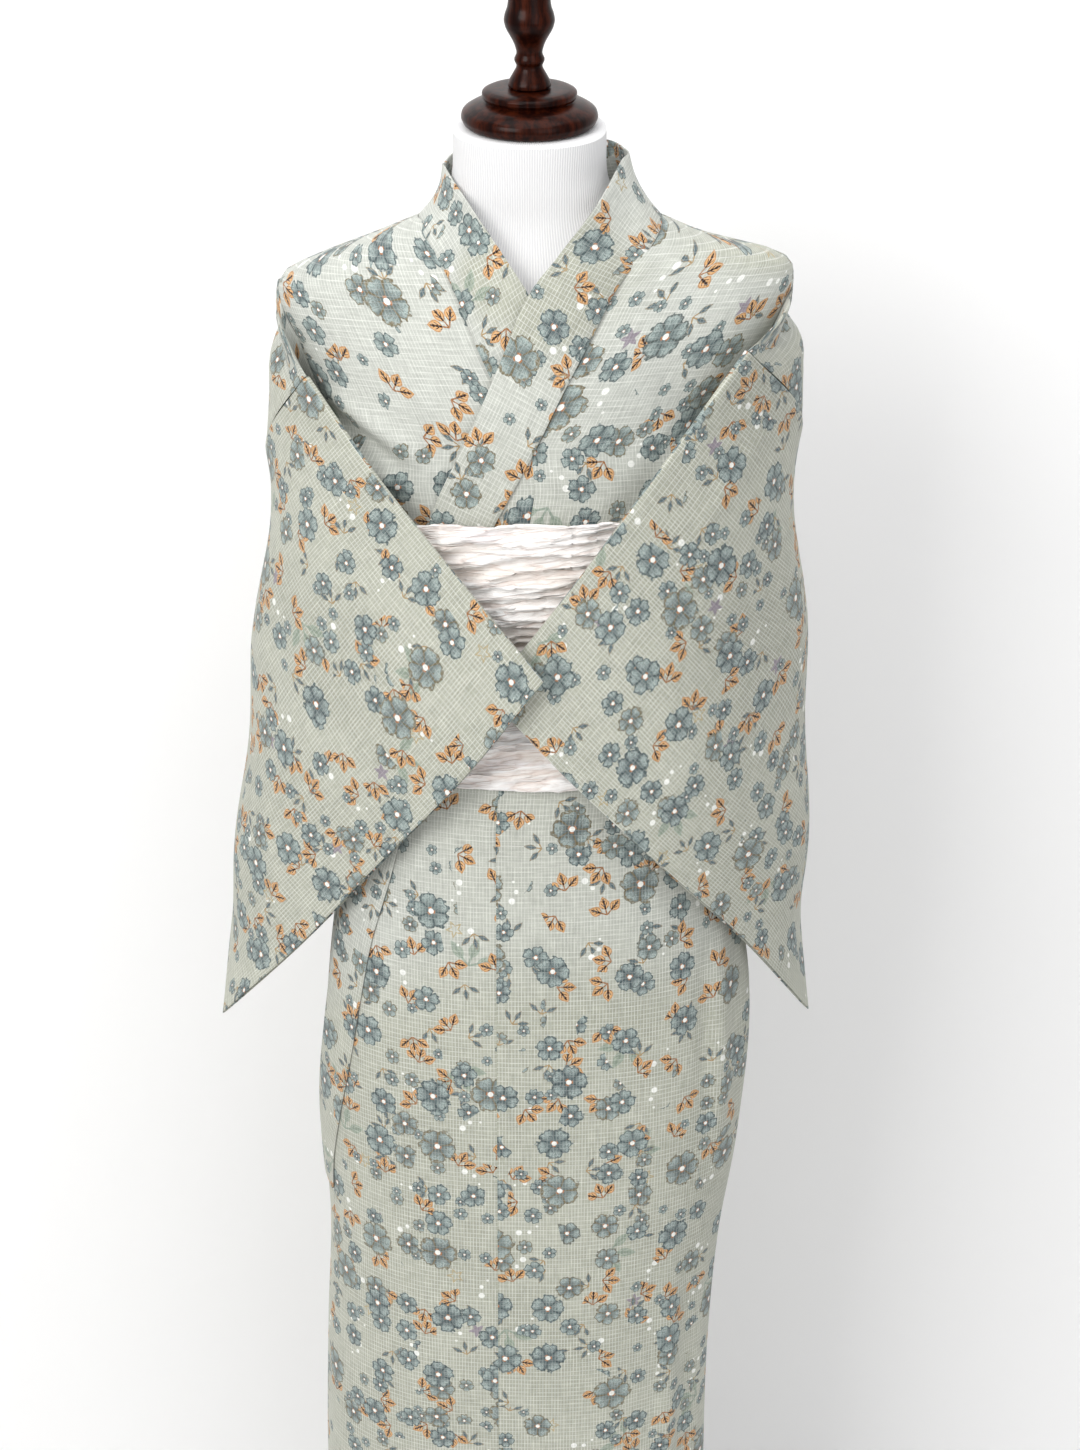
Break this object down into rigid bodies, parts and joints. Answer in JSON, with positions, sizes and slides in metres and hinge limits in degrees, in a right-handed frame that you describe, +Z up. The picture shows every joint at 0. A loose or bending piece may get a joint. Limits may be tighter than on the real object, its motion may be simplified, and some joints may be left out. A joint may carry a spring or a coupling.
{
  "type": "cotton yukata robe with sash on a limbless dress form",
  "caption": "Full-length cotton wrap robe with a floral print, hanging bag sleeves, a standing crossed collar band and a crinkled sash, worn by a limbless dress form on a turned wooden stand.",
  "frame": {"origin": "centre of the stand's underside, on the floor", "axes": "+Z up, -Y the robe's front, +X the wearer's left"},
  "size_m": [0.5204, 0.3814, 1.823],
  "materials": {
    "robe_cotton": "fine checked-weave cotton, pale sage, printed with small flowers",
    "sash_cotton": "crinkled white cotton",
    "form_jersey": "fine ribbed white jersey",
    "walnut": "glossy dark varnish"
  },
  "bodies": {
    "root": {"front_left": "robe_cotton", "front_right": "robe_cotton", "overlap_left": "robe_cotton", "overlap_right": "robe_cotton", "back_left": "robe_cotton", "back_right": "robe_cotton", "drop_left": "robe_cotton", "drop_right": "robe_cotton", "sleeve_left": "robe_cotton", "sleeve_right": "robe_cotton", "collar_band": "robe_cotton", "sash_lower": "sash_cotton", "sash_upper": "sash_cotton", "form_torso": "form_jersey", "neck_cap": "walnut", "finial": "walnut", "pole": "walnut", "base": "walnut"}
  },
  "joints": []
}
